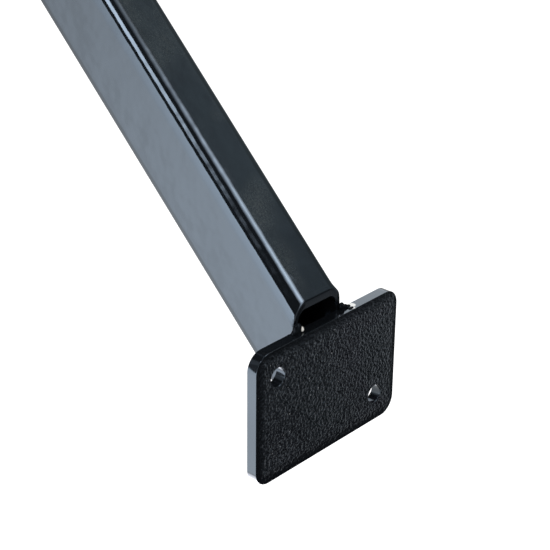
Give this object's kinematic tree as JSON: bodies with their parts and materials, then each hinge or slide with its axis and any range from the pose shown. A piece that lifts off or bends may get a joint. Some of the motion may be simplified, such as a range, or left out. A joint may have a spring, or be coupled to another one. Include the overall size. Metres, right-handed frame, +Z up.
{
  "type": "pool handrail",
  "caption": "Welded handrail of rectangular steel tube: an upright grip with a leg angled back to a flat bolt-on wall plate at each end.",
  "frame": {"origin": "centre of the lower plate's mounting face, against the wall", "axes": "+X right along the wall as seen from the wall side, +Y straight out from the wall, +Z up along the grip"},
  "size_m": [0.116, 0.2257, 1.1008],
  "materials": {
    "tube_coat": "smooth satin black powder coat over steel",
    "plate_coat": "fine textured black powder coat over steel",
    "weld_coat": "gloss black powder coat over weld metal"
  },
  "bodies": {
    "root": {"lower_wall_plate": "plate_coat", "lower_leg": "tube_coat", "lower_elbow_weld": "weld_coat", "lower_heel_weld": "weld_coat", "lower_left_side_weld": "weld_coat", "lower_right_side_weld": "weld_coat", "lower_left_end_weld": "weld_coat", "lower_right_end_weld": "weld_coat", "upper_wall_plate": "plate_coat", "upper_leg": "tube_coat", "upper_elbow_weld": "weld_coat", "upper_heel_weld": "weld_coat", "upper_left_side_weld": "weld_coat", "upper_right_side_weld": "weld_coat", "upper_left_end_weld": "weld_coat", "upper_right_end_weld": "weld_coat", "grip_rail": "tube_coat"}
  },
  "joints": []
}
